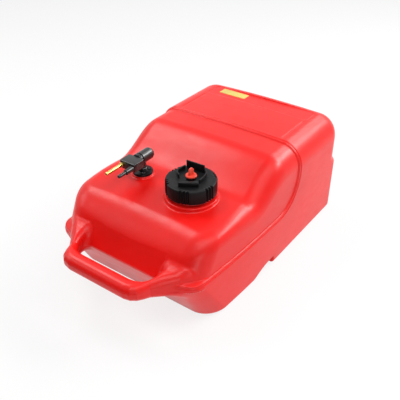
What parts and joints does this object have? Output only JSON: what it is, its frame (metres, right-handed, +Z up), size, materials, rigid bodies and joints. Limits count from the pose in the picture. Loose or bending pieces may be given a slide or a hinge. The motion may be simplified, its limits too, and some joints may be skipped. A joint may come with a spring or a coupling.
{
  "type": "outboard fuel tank",
  "caption": "Low moulded fuel tank with a carrying handle, a vented screw filler cap and a swivelling fuel pickup for a hose connector.",
  "frame": {"origin": "centre of the overall box, on the floor", "axes": "+X to the tank's right, -Y towards the carrying handle, +Z up"},
  "size_m": [0.322, 0.556, 0.2216],
  "materials": {
    "tank_red": "satin blow-moulded polyethylene",
    "knob_red": "moulded",
    "cap_black": "fine grain",
    "fitting_black": "semi-gloss",
    "rubber": "matt",
    "brass": "turned",
    "screw_steel": "plated",
    "tube_clear": "translucent tubing",
    "cage_white": "moulded",
    "mesh_steel": "woven",
    "label_yellow": "blank film"
  },
  "bodies": {
    "tank": {"tank_shell": "tank_red", "pickup_flange": "fitting_black", "flange_gasket": "rubber", "flange_screws": "screw_steel", "rear_label": "label_yellow"},
    "cap_seal": {"cap_gasket": "rubber"},
    "cap": {"filler_cap": "cap_black", "vent_baffle": "fitting_black", "vent_bush": "fitting_black"},
    "vent_seal": {"vent_oring": "rubber"},
    "vent_screw": {"vent_knob": "knob_red"},
    "pickup": {"elbow_body": "fitting_black", "swivel_oring": "rubber", "swivel_clip": "screw_steel", "connector_block": "fitting_black", "block_oring": "rubber", "fuel_prong": "brass", "guide_pin": "fitting_black", "dip_tube": "tube_clear", "tube_clip": "screw_steel", "strainer_cage": "cage_white", "strainer_mesh": "mesh_steel"}
  },
  "joints": [
    {"name": "cap_lift", "type": "slide", "parent": "tank", "child": "cap_seal", "axis": [0, 0, 1], "range_m": [0, 0.02401]},
    {"name": "cap_turn", "type": "hinge", "parent": "cap_seal", "child": "cap", "pos_m": [0.049, -0.081, 0.19517], "axis": [0, 0, 1], "range_deg": [0, 1080]},
    {"name": "vent_lift", "type": "slide", "parent": "cap", "child": "vent_seal", "axis": [0, 0, 1], "range_m": [0, 0.00225]},
    {"name": "vent_turn", "type": "hinge", "parent": "vent_seal", "child": "vent_screw", "pos_m": [0.049, -0.081, 0.20317], "axis": [0, 0, 1], "range_deg": [0, 541]},
    {"name": "elbow_swivel", "type": "hinge", "parent": "tank", "child": "pickup", "pos_m": [-0.0665, -0.071, 0.17217], "axis": [0, 0, 1], "range_deg": [-135, 50]}
  ],
  "couplings": [
    {"joint": "cap_lift", "follows": "cap_turn", "m_per_rad": 0.0012732},
    {"joint": "vent_turn", "follows": "vent_lift", "rad_per_m": 4188.8}
  ]
}
